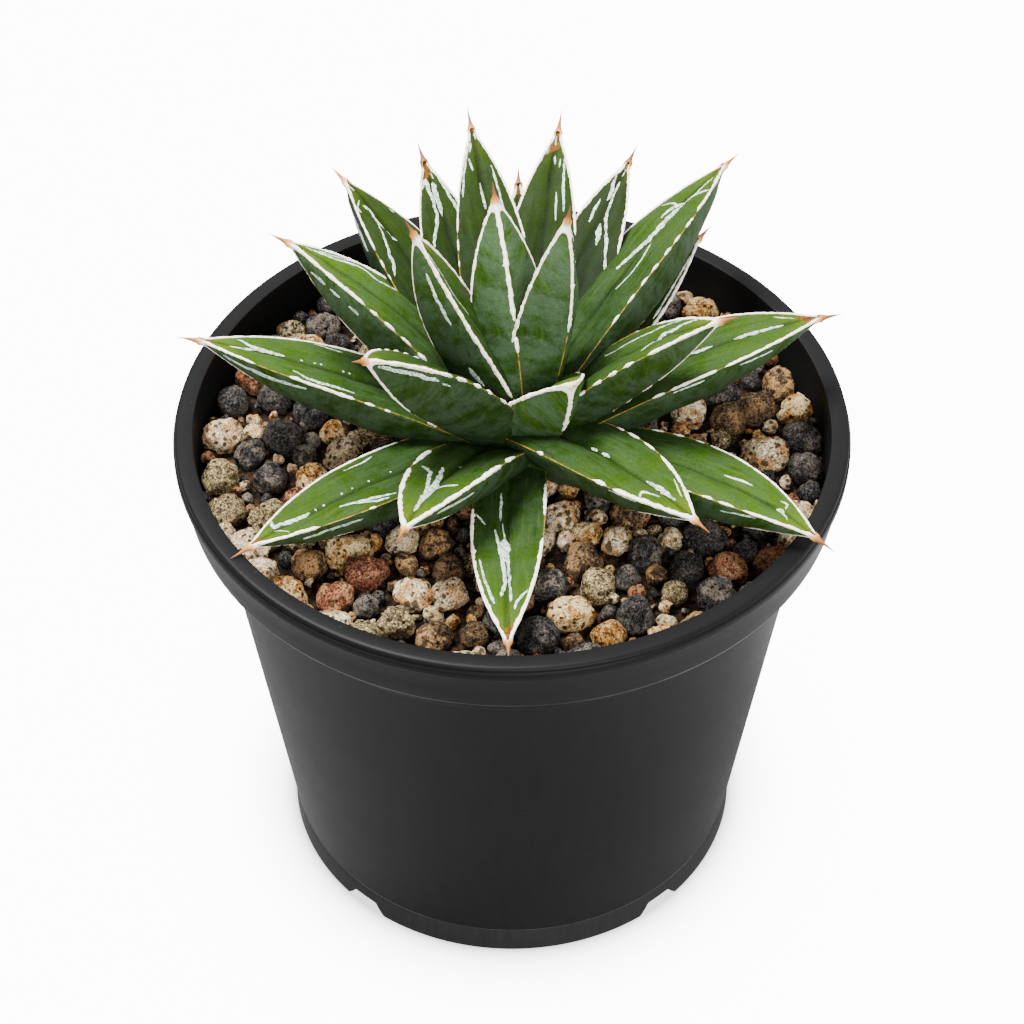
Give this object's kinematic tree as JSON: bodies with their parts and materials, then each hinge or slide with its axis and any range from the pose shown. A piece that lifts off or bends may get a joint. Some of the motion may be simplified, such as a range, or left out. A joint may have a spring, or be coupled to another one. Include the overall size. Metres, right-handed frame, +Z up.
{
  "type": "potted agave",
  "caption": "Compact rosette of stiff, keeled, white-edged agave leaves in a plain round black nursery pot topped with mixed gravel.",
  "frame": {"origin": "centre of the pot's foot, on the surface the pot stands on", "axes": "+Z up the pot's axis, -Y towards the leaf that reaches out furthest at the front, +X to its right"},
  "size_m": [0.151, 0.151, 0.1782],
  "materials": {
    "pot": "matte moulded charcoal-black plastic",
    "soil": null,
    "stem": "pale green-brown plant stem, dull",
    "leaf": null,
    "gravel": "dry porous mixed gravel in charcoal, tan, cream and rust"
  },
  "bodies": {
    "root": {"pot": "pot", "soil": "soil", "stem": "stem", "leaf_01": "leaf", "leaf_02": "leaf", "leaf_03": "leaf", "leaf_04": "leaf", "leaf_05": "leaf", "leaf_06": "leaf", "leaf_07": "leaf", "leaf_08": "leaf", "leaf_09": "leaf", "leaf_10": "leaf", "leaf_11": "leaf", "leaf_12": "leaf", "leaf_13": "leaf", "leaf_14": "leaf", "leaf_15": "leaf", "leaf_16": "leaf", "leaf_17": "leaf", "leaf_18": "leaf", "leaf_19": "leaf", "leaf_20": "leaf", "leaf_21": "leaf", "leaf_22": "leaf", "leaf_23": "leaf", "gravel": "gravel"}
  },
  "joints": []
}
